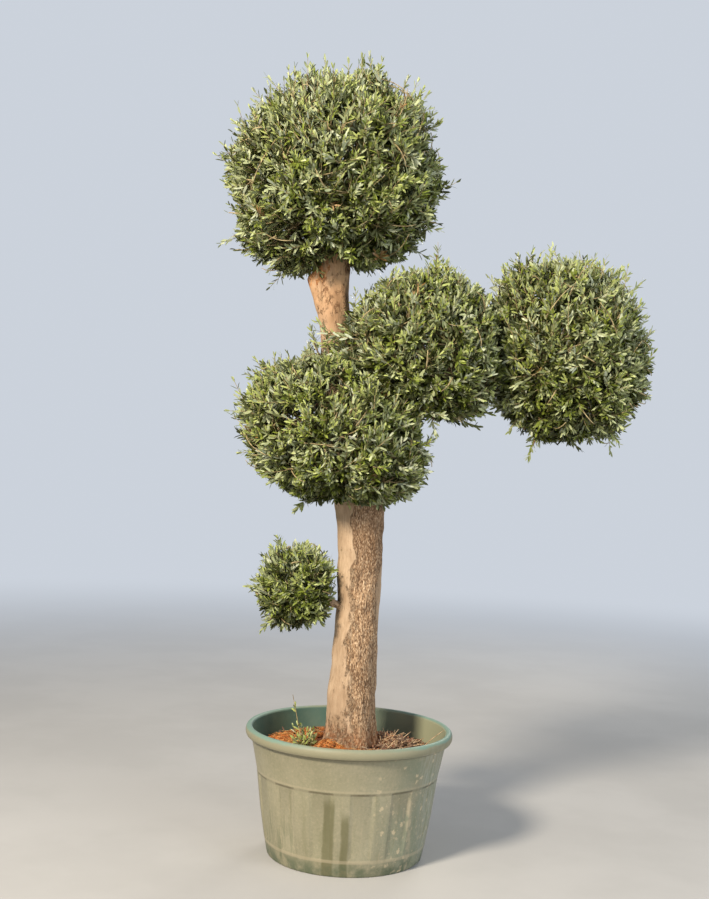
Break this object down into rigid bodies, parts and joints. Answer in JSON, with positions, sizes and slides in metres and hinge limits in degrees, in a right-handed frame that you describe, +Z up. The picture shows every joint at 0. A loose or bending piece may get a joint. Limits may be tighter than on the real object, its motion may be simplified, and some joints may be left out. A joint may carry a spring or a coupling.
{
  "type": "potted olive tree",
  "caption": "Olive tree clipped into leafy balls on a thick bare trunk with a side bough, in a round tapered nursery pot with a rolled rim.",
  "frame": {"origin": "centre of the pot's flat underside", "axes": "+Z up; -Y is the side that the picture shows, and +X points to the side bough at its right"},
  "size_m": [1.9344, 0.9643, 3.4529],
  "materials": {
    "pot": "weathered sage-green moulded plastic, slightly chalky, with drip stains",
    "soil": "dry potting soil under orange-brown needles and leaf litter",
    "bark": "bare bark, smooth and tan on one side, rough and finely fissured on the other",
    "foliage": "small grey-green leathery leaves, satin"
  },
  "bodies": {
    "root": {"pot": "pot", "soil": "soil", "trunk": "bark", "right_bough": "bark", "low_bough": "bark", "foliage_top": "foliage", "foliage_middle": "foliage", "foliage_right_inner": "foliage", "foliage_right_outer": "foliage", "foliage_low": "foliage", "sucker": "foliage"}
  },
  "joints": []
}
